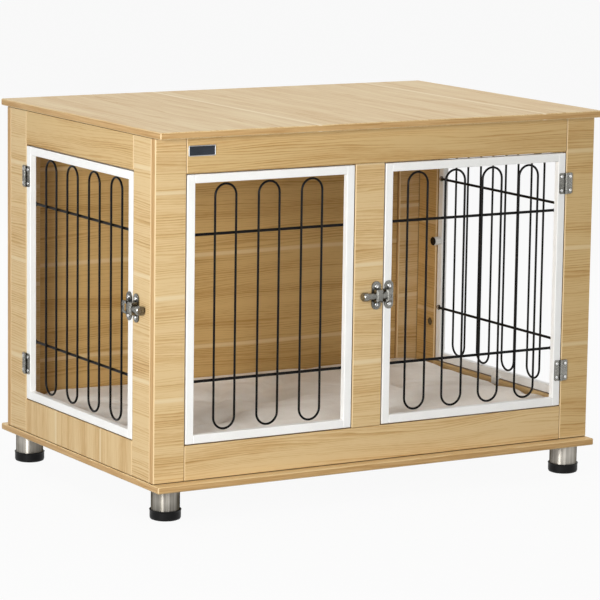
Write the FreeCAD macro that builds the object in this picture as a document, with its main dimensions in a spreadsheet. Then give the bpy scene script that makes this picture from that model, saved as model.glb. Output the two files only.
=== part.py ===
import FreeCAD, Part
import Sketcher
import math
import os

# Pet crate in the form of a low cabinet: a board carcass on four feet, two fixed wire windows,
# a front door and a left side door, each with two butt hinges and a barrel bolt, and a loose cushion.
# X runs to the right, Y to the back, Z up. The origin is on the floor under the middle of the whole.

Vector = FreeCAD.Vector

SIZES = [
    # carcass boards
    ("carcass_width", 900, "outer faces of the two sides"),
    ("carcass_depth", 572, "front face to back face"),
    ("datum_shift", 7.5, "middle plane of the carcass from the origin, along X"),
    ("board_thickness", 15, "front, side and back frame boards"),
    ("top_thickness", 12, "top board"),
    ("base_thickness", 12, "base board"),
    ("side_overhang", 2, "top and base boards past the sides"),
    ("front_overhang", 22, "top and base boards past the front and the back"),
    ("board_bevel", 1.6, "bevel on every board edge"),
    ("rail_height", 62, "top and bottom rails"),
    ("front_stile_width", 60, "front corner boards"),
    ("mullion_width", 60, "board between window and door"),
    ("side_stile_width", 63.5, "side corner boards"),
    ("back_stile_width", 60, "back corner boards"),
    ("back_panel_thickness", 8, "back panel"),
    ("back_panel_bevel", 0.8, "bevel on the back panel"),
    # window and door leaves
    ("leaf_height", 463, "white frames, all four"),
    ("leaf_gap", 2, "gap round each white frame"),
    ("front_window_width", 330, "front window"),
    ("leaf_face", 15, "face of a white frame member"),
    ("leaf_thickness", 12, "depth of a white frame member"),
    ("leaf_bevel", 0.8, "bevel on the white members"),
    # wire grilles
    ("wire_diameter", 4, "loops"),
    ("bar_diameter", 5, "cross bars"),
    ("loop_width", 41, "between the axes of a loop's legs"),
    ("loop_clearance", 2.5, "loop end to the frame"),
    ("weld_depth", 0.4, "loops sunk into the cross bars at the welds"),
    ("bar_lift", 0.2, "cross bars off the white stiles, held by their eyes"),
    ("bar_inset", 105, "cross bar from the top or bottom of the frame"),
    ("eyelet_diameter", 9.5, "flattened eye at each bar end"),
    ("eyelet_thickness", 2.4, "flattened eye"),
    ("eyelet_hole", 4.2, "screw hole of the eye"),
    ("eyelet_inset", 4.8, "eye centre from the inner edge of the frame member"),
    ("eyelet_neck", 1.2, "bar into the rim of the eye"),
    # hinges
    ("hinge_height", 38, "barrel and leaves"),
    ("hinge_leaf_width", 14, "hinge axis to the leaf's far edge"),
    ("hinge_leaf_thickness", 1.5, "leaf plate"),
    ("hinge_corner", 2, "rounded corners of a leaf"),
    ("hinge_barrel_radius", 2.8, "knuckles"),
    ("hinge_pin_radius", 1.3, "pin"),
    ("pin_clearance", 0.06, "round the pin in the door's knuckles"),
    ("knuckle_gap", 0.3, "between knuckles, and from barrel to leaf"),
    ("hinge_top_inset", 55, "upper hinge below the top of the door"),
    ("hinge_bottom_inset", 65, "lower hinge above the bottom of the door"),
    # latches
    ("latch_plate_length", 50, "base and keeper plates"),
    ("latch_plate_width", 18, "base and keeper plates"),
    ("latch_plate_thickness", 2, "base and keeper plates"),
    ("latch_base_inset", 15, "base plate centre from the edge of its board"),
    ("keeper_inset", 9, "keeper plate centre from the edge of the door"),
    ("latch_axis_height", 9, "bolt axis off the face"),
    ("latch_wall", 1.9, "metal outside the bolt bore"),
    ("housing_length", 14, "housing along the bolt"),
    ("housing_width", 22, "housing and lug across the bolt"),
    ("latch_bevel", 3, "bevel on the housing and the lug"),
    ("bolt_diameter", 12, "bolt"),
    ("bolt_clearance", 0.08, "round the bolt in the housing"),
    ("bolt_bevel", 1, "nose of the bolt"),
    ("keeper_clearance", 0.6, "round the bolt in the lug"),
    ("lug_length", 12, "lug along the bolt"),
    ("lug_lap", 1.5, "lug past the edge of the board"),
    ("lug_dimple_diameter", 6, "round mark in the lug's face"),
    ("lug_dimple_depth", 0.6, "round mark in the lug's face"),
    ("nose_gap", 1, "drawn bolt to the lug"),
    ("knob_diameter", 16, "knob"),
    ("knob_length", 10, "knob"),
    ("knob_bevel", 1.2, "rims of the knob"),
    ("latch_travel", 12.5, "bolt travel"),
    ("knob_stop_gap", 2.5, "knob to the housing when the bolt is home"),
    # feet
    ("foot_height", 54, "floor to the underside of the base"),
    ("foot_diameter", 50, "steel tube"),
    ("foot_wall", 2, "steel tube"),
    ("foot_cap_height", 17.5, "rubber cap"),
    ("foot_cap_wall", 2, "rubber cap outside the tube"),
    ("foot_cap_floor", 6, "rubber under the tube"),
    ("foot_cap_clearance", 0.1, "between cap and tube"),
    ("foot_cap_lip", 0.7, "flare of the cap's upper lip"),
    ("foot_cap_lip_height", 3, "flared part of the lip"),
    ("foot_cap_round", 4, "rounded tread of the cap"),
    ("foot_inset_x", 35, "foot axis in from the side face"),
    ("foot_inset_y", 21, "foot axis in from the front and back faces"),
    # inner fittings
    ("cam_diameter", 15, "bore of a cam lock"),
    ("cam_depth", 10, "bore of a cam lock"),
    ("cam_clearance", 0.1, "round the cam"),
    ("cam_height", 137, "cams above the base and below the top"),
    ("cam_inset", 48, "cam from the end of its board"),
    ("bumper_diameter", 16.5, "round stop on the right window"),
    ("bumper_length", 15, "round stop on the right window"),
    ("bumper_bevel", 1, "rims of the round stop"),
    ("bumper_height", 236, "round stop above the bottom of the frame"),
    ("clip_width", 22, "window clip"),
    ("clip_thickness", 2, "window clip"),
    ("clip_board_lap", 10, "clip on the board"),
    ("clip_leaf_lap", 9, "clip on the white frame"),
    ("clip_offset", 9, "clip from the middle of its window"),
    # cushion
    ("cushion_clearance", 5, "cushion to the boards round it"),
    ("cushion_corner", 45, "corner radius in plan"),
    ("cushion_pull", 5, "middle of each side drawn in"),
    ("cushion_tuck", 12, "underside drawn in"),
    ("cushion_belly_low", 16, "height where the full width starts"),
    ("cushion_belly_high", 46, "height where the full width ends"),
    ("cushion_edge_height", 62, "top of the side"),
    ("cushion_shoulder", 13, "drawn in at the top of the side"),
    ("cushion_crown_height", 70, "crown"),
    ("cushion_crown_inset", 170, "flat of the crown, from the edge"),
]


class Measure:
    """A length: the expression text for the document, with its present value."""

    def __init__(self, text, value):
        self.text = text
        self.value = float(value)

    def __add__(self, other):
        other = measure(other)
        return Measure("(%s + %s)" % (self.text, other.text), self.value + other.value)

    def __sub__(self, other):
        other = measure(other)
        return Measure("(%s - %s)" % (self.text, other.text), self.value - other.value)

    def __mul__(self, other):
        other = measure(other)
        return Measure("(%s * %s)" % (self.text, other.text), self.value * other.value)

    def __truediv__(self, other):
        other = measure(other)
        return Measure("(%s / %s)" % (self.text, other.text), self.value / other.value)

    def __neg__(self):
        return Measure("(-1 * %s)" % self.text, -self.value)


def measure(thing):
    if isinstance(thing, Measure):
        return thing
    return Measure(repr(thing), thing)


doc = FreeCAD.newDocument("pet_crate")
sheet = doc.addObject("Spreadsheet::Sheet", "sizes")
for row, (alias, number, note) in enumerate(SIZES, start=1):
    sheet.set("A%d" % row, note)
    sheet.set("B%d" % row, str(number))
    sheet.setAlias("B%d" % row, alias)
doc.recompute()


class Sizes:
    """The sheet's cells by name."""


size = Sizes()
for alias, number, note in SIZES:
    setattr(size, alias, Measure("sizes." + alias, number))

nodes = []


def bind(thing, name, value):
    thing.setExpression(name, measure(value).text)


def put(thing, x, y, z, turn=None):
    """Seat a piece at x from the middle plane of the carcass, y and z."""
    if turn is not None:
        thing.Placement = FreeCAD.Placement(Vector(0, 0, 0), turn)
    bind(thing, "Placement.Base.x", measure(x) + size.datum_shift)
    bind(thing, "Placement.Base.y", y)
    bind(thing, "Placement.Base.z", z)


def seat(thing, x, y, z, turn=None):
    """Seat a feature inside its own body."""
    if turn is not None:
        thing.Placement = FreeCAD.Placement(Vector(0, 0, 0), turn)
    bind(thing, "Placement.Base.x", x)
    bind(thing, "Placement.Base.y", y)
    bind(thing, "Placement.Base.z", z)


def turned(x_axis, y_axis, z_axis):
    return FreeCAD.Rotation(Vector(*x_axis), Vector(*y_axis), Vector(*z_axis), "ZXY")


# a body's own X runs along the face, Y up the face and Z out of it
FRONT = turned((1, 0, 0), (0, 0, 1), (0, -1, 0))
FRONT_FLIPPED = turned((-1, 0, 0), (0, 0, -1), (0, -1, 0))
LEFT = turned((0, -1, 0), (0, 0, 1), (-1, 0, 0))
LEFT_FLIPPED = turned((0, 1, 0), (0, 0, -1), (-1, 0, 0))
RIGHT = turned((0, 1, 0), (0, 0, 1), (1, 0, 0))
ALONG_X = FreeCAD.Rotation(Vector(0, 1, 0), 90)
ALONG_Y = FreeCAD.Rotation(Vector(1, 0, 0), -90)


def new_body(label, exported=True):
    body = doc.addObject("PartDesign::Body", label)
    body.Label = label
    body.AllowCompound = True
    if exported:
        nodes.append(body)
    return body


def origin_feature(body, role):
    for feature in body.Origin.OriginFeatures:
        if feature.Role == role:
            return feature
    raise ValueError(role)


def add_box(body, name, length, width, height, x, y, z):
    box = body.newObject("PartDesign::AdditiveBox", name)
    bind(box, "Length", length)
    bind(box, "Width", width)
    bind(box, "Height", height)
    seat(box, x, y, z)
    return box


def add_rod(body, name, radius, length, x, y, z, turn, cut=False):
    kind = "PartDesign::SubtractiveCylinder" if cut else "PartDesign::AdditiveCylinder"
    rod = body.newObject(kind, name)
    bind(rod, "Radius", radius)
    bind(rod, "Height", length)
    seat(rod, x, y, z, turn)
    return rod


def add_bevel(body, name, base, faces, amount):
    doc.recompute()
    bevel = body.newObject("PartDesign::Chamfer", name)
    bevel.Base = (base, faces)
    bevel.UseAllEdges = not faces
    bind(bevel, "Size", amount)
    body.Tip = bevel
    return bevel


def new_sketch(body, name, role):
    sketch = body.newObject("Sketcher::SketchObject", name)
    sketch.AttachmentSupport = [(origin_feature(body, role), "")]
    sketch.MapMode = "FlatFace"
    return sketch


def fix_point(sketch, edge, point, x, y):
    """Hold a sketch point at x, y from the sketch's origin."""
    for kind, axis, amount in (("DistanceX", -2, measure(x)), ("DistanceY", -1, measure(y))):
        if amount.value == 0:
            sketch.addConstraint(Sketcher.Constraint("PointOnObject", edge, point, axis))
        elif amount.value > 0:
            index = sketch.addConstraint(Sketcher.Constraint(kind, -1, 1, edge, point, amount.value))
            bind(sketch, "Constraints[%d]" % index, amount)
        else:
            index = sketch.addConstraint(Sketcher.Constraint(kind, edge, point, -1, 1, -amount.value))
            bind(sketch, "Constraints[%d]" % index, -amount)


def outline_sketch(body, name, role, corners):
    """A closed outline of straight edges through the corners."""
    sketch = new_sketch(body, name, role)
    points = [Vector(measure(x).value, measure(y).value, 0) for x, y in corners]
    count = len(points)
    for i in range(count):
        sketch.addGeometry(Part.LineSegment(points[i], points[(i + 1) % count]), False)
    for i in range(count):
        sketch.addConstraint(Sketcher.Constraint("Coincident", i, 2, (i + 1) % count, 1))
    for i in range(count):
        fix_point(sketch, i, 1, corners[i][0], corners[i][1])
    return sketch


def slot_sketch(body, name, length, width):
    """An upright slot with round ends, centred on the sketch's origin."""
    sketch = new_sketch(body, name, "XY_Plane")
    radius = width.value / 2
    reach = (length.value - width.value) / 2
    up = Vector(0, 0, 1)
    sketch.addGeometry(Part.ArcOfCircle(Part.Circle(Vector(0, reach, 0), up, radius), 0, math.pi), False)
    sketch.addGeometry(Part.LineSegment(Vector(-radius, reach, 0), Vector(-radius, -reach, 0)), False)
    lower = Part.Circle(Vector(0, -reach, 0), up, radius)
    sketch.addGeometry(Part.ArcOfCircle(lower, math.pi, 2 * math.pi), False)
    sketch.addGeometry(Part.LineSegment(Vector(radius, -reach, 0), Vector(radius, reach, 0)), False)
    for i in range(4):
        sketch.addConstraint(Sketcher.Constraint("Tangent", i, 2, (i + 1) % 4, 1))
    sketch.addConstraint(Sketcher.Constraint("PointOnObject", 0, 3, -2))
    sketch.addConstraint(Sketcher.Constraint("Symmetric", 0, 3, 2, 3, -1, 1))
    sketch.addConstraint(Sketcher.Constraint("Equal", 0, 2))
    index = sketch.addConstraint(Sketcher.Constraint("Radius", 0, radius))
    bind(sketch, "Constraints[%d]" % index, width / 2)
    index = sketch.addConstraint(Sketcher.Constraint("DistanceY", 2, 3, 0, 3, 2 * reach))
    bind(sketch, "Constraints[%d]" % index, length - width)
    return sketch


def add_pad(body, name, sketch, length):
    pad = body.newObject("PartDesign::Pad", name)
    pad.Profile = sketch
    bind(pad, "Length", length)
    body.Tip = pad
    return pad


def add_turning(body, name, sketch, role):
    turning = body.newObject("PartDesign::Revolution", name)
    turning.Profile = sketch
    turning.ReferenceAxis = (origin_feature(body, role), [""])
    turning.Angle = 360
    body.Tip = turning
    return turning


def add_row(body, name, originals, role, length, count):
    """Repeat the originals, or the whole body where none are named, along an axis."""
    doc.recompute()
    row = body.newObject("PartDesign::LinearPattern", name)
    if originals:
        row.Originals = originals
    else:
        row.TransformMode = "Whole shape"
    row.Direction = (origin_feature(body, role), [""])
    bind(row, "Length", length)
    row.Occurrences = count
    body.Tip = row
    return row


def add_mirror(body, name, role):
    """Mirror the whole body in one of its own planes."""
    doc.recompute()
    mirror = body.newObject("PartDesign::Mirrored", name)
    mirror.TransformMode = "Whole shape"
    mirror.MirrorPlane = (origin_feature(body, role), [""])
    body.Tip = mirror
    return mirror


def board(label, length, width, height, x, y, z, bevel):
    """A flat board or frame member with a bevel on all its edges."""
    body = new_body(label)
    blank = add_box(body, label + "_blank", length, width, height, 0, 0, 0)
    add_bevel(body, label + "_edges", blank, [], bevel)
    put(body, x, y, z)
    return body


def group(label, members):
    """Separate like pieces kept as one node."""
    compound = doc.addObject("Part::Compound", label)
    compound.Label = label
    compound.Links = members
    nodes.append(compound)
    return compound


# Levels and faces that the pieces share

half_width = size.carcass_width / 2
half_depth = size.carcass_depth / 2
front_face = -half_depth
left_face = -half_width
base_top = size.foot_height + size.base_thickness
opening_height = size.leaf_height + size.leaf_gap * 2
carcass_height = opening_height + size.rail_height * 2
opening_bottom = base_top + size.rail_height
opening_top = opening_bottom + opening_height
leaf_bottom = opening_bottom + size.leaf_gap
leaf_middle = leaf_bottom + size.leaf_height / 2
side_depth = size.carcass_depth - size.board_thickness * 2
side_front = front_face + size.board_thickness
side_leaf_width = side_depth - size.side_stile_width * 2 - size.leaf_gap * 2
side_leaf_front = -(side_leaf_width / 2)
window_left = left_face + size.front_stile_width + size.leaf_gap
mullion_left = window_left + size.front_window_width + size.leaf_gap
mullion_right = mullion_left + size.mullion_width
door_left = mullion_right + size.leaf_gap
door_right = half_width - size.front_stile_width - size.leaf_gap
door_width = door_right - door_left

# Top and base boards

for label, thick, level in (
    ("top_panel", size.top_thickness, base_top + carcass_height),
    ("base_panel", size.base_thickness, size.foot_height),
):
    board(
        label,
        size.carcass_width + size.side_overhang * 2,
        size.carcass_depth + size.front_overhang * 2,
        thick,
        left_face - size.side_overhang,
        front_face - size.front_overhang,
        level,
        size.board_bevel,
    )

# Front frame: full-height stiles, rails between them and a mullion between the rails

front_rail_length = size.carcass_width - size.front_stile_width * 2
for label, x in (
    ("front_left_stile", left_face),
    ("front_right_stile", half_width - size.front_stile_width),
):
    board(label, size.front_stile_width, size.board_thickness, carcass_height, x, front_face, base_top,
          size.board_bevel)
for label, z in (("front_bottom_rail", base_top), ("front_top_rail", opening_top)):
    board(label, front_rail_length, size.board_thickness, size.rail_height,
          left_face + size.front_stile_width, front_face, z, size.board_bevel)
board("front_mullion", size.mullion_width, size.board_thickness, opening_height, mullion_left, front_face,
      opening_bottom, size.board_bevel)

# Side frames between the front and back boards, with bored seats for the cam locks in the stiles

side_rail_length = side_depth - size.side_stile_width * 2
cams = []
for side, face, inner, sign in (
    ("left", left_face, left_face + size.board_thickness, 1),
    ("right", half_width - size.board_thickness, half_width - size.board_thickness, -1),
):
    for place, y, cam_y in (
        ("front", side_front, size.cam_inset),
        ("back", -side_front - size.side_stile_width, size.side_stile_width - size.cam_inset),
    ):
        label = "%s_%s_stile" % (side, place)
        stile = board(label, size.board_thickness, size.side_stile_width, carcass_height, face, y, base_top,
                      size.board_bevel)
        bore_start = size.board_thickness - size.cam_depth if sign > 0 else measure(0)
        for level, cam_z in (("low", size.cam_height), ("high", carcass_height - size.cam_height)):
            bore = add_rod(stile, "%s_%s_bore" % (label, level), size.cam_diameter / 2, size.cam_depth,
                           bore_start, cam_y, cam_z, ALONG_X, cut=True)
            stile.Tip = bore
            cam = doc.addObject("Part::Cylinder", "%s_%s_cam" % (label, level))
            bind(cam, "Radius", size.cam_diameter / 2 - size.cam_clearance)
            bind(cam, "Height", size.cam_depth)
            put(cam, face + bore_start, y + cam_y, base_top + cam_z, ALONG_X)
            cams.append(cam)
    for place, z in (("bottom", base_top), ("top", opening_top)):
        board("%s_%s_rail" % (side, place), size.board_thickness, side_rail_length, size.rail_height, face,
              side_front + size.side_stile_width, z, size.board_bevel)
group("cam_locks", cams)

# Back: two stiles and a thin panel between them, flush at the outside

for label, x in (("back_left_stile", left_face), ("back_right_stile", half_width - size.back_stile_width)):
    board(label, size.back_stile_width, size.board_thickness, carcass_height, x,
          half_depth - size.board_thickness, base_top, size.board_bevel)
board("back_panel", size.carcass_width - size.back_stile_width * 2, size.back_panel_thickness, carcass_height,
      left_face + size.back_stile_width, half_depth - size.back_panel_thickness, base_top,
      size.back_panel_bevel)

# White frames of the windows and doors: stiles full height, rails between them

rail_levels = (("bottom", leaf_bottom), ("top", leaf_bottom + size.leaf_height - size.leaf_face))
for leaf, x, width in (
    ("front_window", window_left, size.front_window_width),
    ("front_door", door_left, door_width),
):
    for place, shift in (("left", measure(0)), ("right", width - size.leaf_face)):
        board("%s_%s_stile" % (leaf, place), size.leaf_face, size.leaf_thickness, size.leaf_height, x + shift,
              front_face, leaf_bottom, size.leaf_bevel)
    for place, z in rail_levels:
        board("%s_%s_rail" % (leaf, place), width - size.leaf_face * 2, size.leaf_thickness, size.leaf_face,
              x + size.leaf_face, front_face, z, size.leaf_bevel)
for leaf, x in (("left_door", left_face), ("right_window", half_width - size.leaf_thickness)):
    for place, shift in (("front", measure(0)), ("back", side_leaf_width - size.leaf_face)):
        board("%s_%s_stile" % (leaf, place), size.leaf_thickness, size.leaf_face, size.leaf_height, x,
              side_leaf_front + shift, leaf_bottom, size.leaf_bevel)
    for place, z in rail_levels:
        board("%s_%s_rail" % (leaf, place), size.leaf_thickness, side_leaf_width - size.leaf_face * 2,
              size.leaf_face, x, side_leaf_front + size.leaf_face, z, size.leaf_bevel)


# Wire grilles: closed loops welded to two cross bars, whose flattened eyes lie on the white stiles

wire_radius = size.wire_diameter / 2
bar_radius = size.bar_diameter / 2
bar_depth = size.leaf_thickness + size.bar_lift + bar_radius
loop_depth = bar_depth - bar_radius - wire_radius + size.weld_depth


def grille(label, loops, leaf_width, x, y, turn):
    body = new_body(label)
    clear_width = leaf_width - size.leaf_face * 2
    bend = size.loop_width / 2
    space = (clear_width - size.loop_width * loops) / (loops + 1)
    pitch = size.loop_width + space
    first = space + bend - clear_width / 2
    bend_level = size.leaf_height / 2 - size.leaf_face - size.loop_clearance - wire_radius - bend
    # upper half of the first loop: up one leg, round the bend and down the other leg
    path = new_sketch(body, label + "_path", "XY_Plane")
    bind(path, "AttachmentOffset.Base.x", first)
    bind(path, "AttachmentOffset.Base.z", -loop_depth)
    r = bend.value
    c = bend_level.value
    path.addGeometry(Part.LineSegment(Vector(-r, 0, 0), Vector(-r, c, 0)), False)
    path.addGeometry(Part.ArcOfCircle(Part.Circle(Vector(0, c, 0), Vector(0, 0, 1), r), 0, math.pi), False)
    path.addGeometry(Part.LineSegment(Vector(r, c, 0), Vector(r, 0, 0)), False)
    path.addConstraint(Sketcher.Constraint("Tangent", 0, 2, 1, 2))
    path.addConstraint(Sketcher.Constraint("Tangent", 1, 1, 2, 1))
    path.addConstraint(Sketcher.Constraint("PointOnObject", 0, 1, -1))
    path.addConstraint(Sketcher.Constraint("PointOnObject", 2, 2, -1))
    path.addConstraint(Sketcher.Constraint("PointOnObject", 1, 3, -2))
    path.addConstraint(Sketcher.Constraint("Vertical", 0))
    path.addConstraint(Sketcher.Constraint("Vertical", 2))
    index = path.addConstraint(Sketcher.Constraint("Radius", 1, r))
    bind(path, "Constraints[%d]" % index, bend)
    index = path.addConstraint(Sketcher.Constraint("DistanceY", -1, 1, 1, 3, c))
    bind(path, "Constraints[%d]" % index, bend_level)
    section = new_sketch(body, label + "_section", "XZ_Plane")
    bind(section, "AttachmentOffset.Base.x", first - bend)
    bind(section, "AttachmentOffset.Base.y", -loop_depth)
    section.addGeometry(Part.Circle(Vector(0, 0, 0), Vector(0, 0, 1), wire_radius.value), False)
    section.addConstraint(Sketcher.Constraint("Coincident", 0, 3, -1, 1))
    index = section.addConstraint(Sketcher.Constraint("Radius", 0, wire_radius.value))
    bind(section, "Constraints[%d]" % index, wire_radius)
    doc.recompute()
    loop = body.newObject("PartDesign::AdditivePipe", label + "_loop")
    loop.Profile = section
    loop.Spine = (path, [])
    body.Tip = loop
    add_row(body, label + "_loops", [], "X_Axis", pitch * (loops - 1), loops)
    # cross bar with an eye at each end
    bar_level = size.leaf_height / 2 - size.bar_inset
    eye_reach = clear_width / 2 + size.eyelet_inset
    eye_radius = size.eyelet_diameter / 2
    bar_reach = eye_reach - eye_radius + size.eyelet_neck
    add_rod(body, label + "_bar", bar_radius, bar_reach * 2, -bar_reach, bar_level, -bar_depth, ALONG_X)
    eye_depth = -(size.leaf_thickness + size.eyelet_thickness)
    for side, reach in (("left", -eye_reach), ("right", eye_reach)):
        add_rod(body, "%s_%s_eye" % (label, side), eye_radius, size.eyelet_thickness, reach, bar_level,
                eye_depth, FreeCAD.Rotation())
        body.Tip = add_rod(body, "%s_%s_hole" % (label, side), size.eyelet_hole / 2, size.eyelet_thickness * 2,
                           reach, bar_level, eye_depth - size.eyelet_thickness / 2, FreeCAD.Rotation(),
                           cut=True)
    add_mirror(body, label + "_halves", "XZ_Plane")
    put(body, x, y, leaf_middle, turn)
    return body


grille("front_window_grille", 3, size.front_window_width, window_left + size.front_window_width / 2,
       front_face, FRONT)
grille("front_door_grille", 4, door_width, door_left + door_width / 2, front_face, FRONT)
grille("left_door_grille", 4, side_leaf_width, left_face, measure(0), LEFT)
grille("right_window_grille", 4, side_leaf_width, half_width, measure(0), RIGHT)

# Hinges: leaves on the outer faces, three knuckles on one axis, the middle one on the carcass

knuckle_length = (size.hinge_height - size.knuckle_gap * 2) / 3
hinge_rise = size.leaf_height - size.hinge_top_inset - size.hinge_bottom_inset
lower_hinge = leaf_bottom + size.hinge_bottom_inset
upper_hinge = lower_hinge + hinge_rise
barrel_clear = size.hinge_barrel_radius + size.knuckle_gap


def hinge_leaves(label, knuckle_starts, bore_radius, x, y, z, turn):
    """The like leaves of one door's two hinges; the axis stands over the body's Y axis."""
    body = new_body(label)
    half = size.hinge_height / 2
    far = size.hinge_leaf_width
    corner = size.hinge_corner
    plate = outline_sketch(body, label + "_plate", "XY_Plane", [
        (barrel_clear, -half),
        (far - corner, -half),
        (far, corner - half),
        (far, half - corner),
        (far - corner, half),
        (barrel_clear, half),
    ])
    add_pad(body, label + "_sheet", plate, size.hinge_leaf_thickness)
    for count, start in enumerate(knuckle_starts):
        add_box(body, "%s_tongue_%d" % (label, count), barrel_clear, knuckle_length,
                size.hinge_leaf_thickness, 0, start, 0)
        add_rod(body, "%s_knuckle_%d" % (label, count), size.hinge_barrel_radius, knuckle_length, 0, start,
                size.hinge_barrel_radius, ALONG_Y)
    body.Tip = add_rod(body, label + "_bore", bore_radius, size.hinge_height, 0, -half,
                       size.hinge_barrel_radius, ALONG_Y, cut=True)
    add_row(body, label + "_pair", [], "Y_Axis", hinge_rise, 2)
    put(body, x, y, z, turn)
    return body


middle_knuckle = [-(knuckle_length / 2)]
outer_knuckles = [-(size.hinge_height / 2), size.hinge_height / 2 - knuckle_length]
loose_bore = size.hinge_pin_radius + size.pin_clearance
front_axis_x = door_right + size.leaf_gap / 2
front_axis_y = front_face - size.hinge_barrel_radius
left_axis_x = left_face - size.hinge_barrel_radius
left_axis_y = -side_leaf_front + size.leaf_gap / 2
hinge_leaves("front_hinge_frame_leaves", middle_knuckle, size.hinge_pin_radius, front_axis_x, front_face,
             lower_hinge, FRONT)
hinge_leaves("front_hinge_door_leaves", outer_knuckles, loose_bore, front_axis_x, front_face, upper_hinge,
             FRONT_FLIPPED)
hinge_leaves("left_hinge_frame_leaves", middle_knuckle, size.hinge_pin_radius, left_face, left_axis_y,
             upper_hinge, LEFT_FLIPPED)
hinge_leaves("left_hinge_door_leaves", outer_knuckles, loose_bore, left_face, left_axis_y, lower_hinge, LEFT)
pins = []
for name, x, y in (("front", front_axis_x, front_axis_y), ("left", left_axis_x, left_axis_y)):
    for level, z in (("lower", lower_hinge), ("upper", upper_hinge)):
        pin = doc.addObject("Part::Cylinder", "%s_%s_pin" % (name, level))
        bind(pin, "Radius", size.hinge_pin_radius)
        bind(pin, "Height", size.hinge_height)
        put(pin, x, y, z - size.hinge_height / 2)
        pins.append(pin)
group("hinge_pins", pins)

# Barrel bolts: base with housing on the carcass, sliding bolt with knob, keeper with lug on the door

bolt_radius = size.bolt_diameter / 2
housing_bore = bolt_radius + size.bolt_clearance
lug_reach = bolt_radius + size.keeper_clearance
latch_height = size.latch_axis_height + housing_bore + size.latch_wall
keeper_centre = size.leaf_gap + size.keeper_inset
lug_start = -size.lug_lap - keeper_centre
nose = -size.lug_lap - size.nose_gap
housing_start = -size.latch_base_inset - size.housing_length / 2
knob_front = housing_start - size.knob_stop_gap - size.latch_travel
knob_back = knob_front - size.knob_length


def latch_base(label, x, y, turn):
    body = new_body(label)
    housing = add_box(body, label + "_housing", size.housing_length, size.housing_width, latch_height,
                      -(size.housing_length / 2), -(size.housing_width / 2), 0)
    add_bevel(body, label + "_housing_edges", housing, ["Face6"], size.latch_bevel)
    plate = slot_sketch(body, label + "_plate", size.latch_plate_length, size.latch_plate_width)
    add_pad(body, label + "_sheet", plate, size.latch_plate_thickness)
    body.Tip = add_rod(body, label + "_bore", housing_bore, size.housing_length * 2, -size.housing_length, 0,
                       size.latch_axis_height, ALONG_X, cut=True)
    put(body, x, y, leaf_middle, turn)
    return body


def latch_keeper(label, x, y, turn):
    body = new_body(label)
    lug = add_box(body, label + "_lug", size.lug_length, size.housing_width,
                  latch_height - size.latch_plate_thickness, lug_start, -(size.housing_width / 2),
                  size.latch_plate_thickness)
    add_bevel(body, label + "_lug_edges", lug, ["Face6"], size.latch_bevel)
    plate = slot_sketch(body, label + "_plate", size.latch_plate_length, size.latch_plate_width)
    add_pad(body, label + "_sheet", plate, size.latch_plate_thickness)
    # the lug stands on the plate as a staple that the bolt passes through
    way = body.newObject("PartDesign::SubtractiveBox", label + "_way")
    bind(way, "Length", size.lug_length * 2)
    bind(way, "Width", lug_reach * 2)
    bind(way, "Height", size.latch_axis_height + lug_reach - size.latch_plate_thickness)
    seat(way, lug_start - size.lug_length / 2, -lug_reach, size.latch_plate_thickness)
    body.Tip = add_rod(body, label + "_dimple", size.lug_dimple_diameter / 2, size.lug_dimple_depth * 2,
                       lug_start + size.lug_length / 2, 0, latch_height - size.lug_dimple_depth,
                       FreeCAD.Rotation(), cut=True)
    put(body, x, y, leaf_middle, turn)
    return body


def latch_bolt(label, x, y, turn):
    body = new_body(label)
    knob_radius = size.knob_diameter / 2
    neck = size.knob_length
    tip = nose - knob_back
    profile = outline_sketch(body, label + "_profile", "XY_Plane", [
        (0, 0),
        (tip, 0),
        (tip, bolt_radius - size.bolt_bevel),
        (tip - size.bolt_bevel, bolt_radius),
        (neck, bolt_radius),
        (neck, knob_radius - size.knob_bevel),
        (neck - size.knob_bevel, knob_radius),
        (size.knob_bevel, knob_radius),
        (0, knob_radius - size.knob_bevel),
    ])
    add_turning(body, label + "_turning", profile, "X_Axis")
    put(body, x, y, leaf_middle, turn)
    return body


latch_base("front_latch_base", mullion_right - size.latch_base_inset, front_face, FRONT)
latch_bolt("front_latch_bolt", mullion_right + knob_back, front_face - size.latch_axis_height, FRONT)
latch_keeper("front_latch_keeper", mullion_right + keeper_centre, front_face, FRONT)
side_stile_edge = side_front + size.side_stile_width
latch_base("left_latch_base", left_face, side_stile_edge - size.latch_base_inset, LEFT_FLIPPED)
latch_bolt("left_latch_bolt", left_face - size.latch_axis_height, side_stile_edge + knob_back, LEFT_FLIPPED)
latch_keeper("left_latch_keeper", left_face, side_stile_edge + keeper_centre, LEFT_FLIPPED)

# Feet: steel tubes that stand in rubber caps

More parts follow.
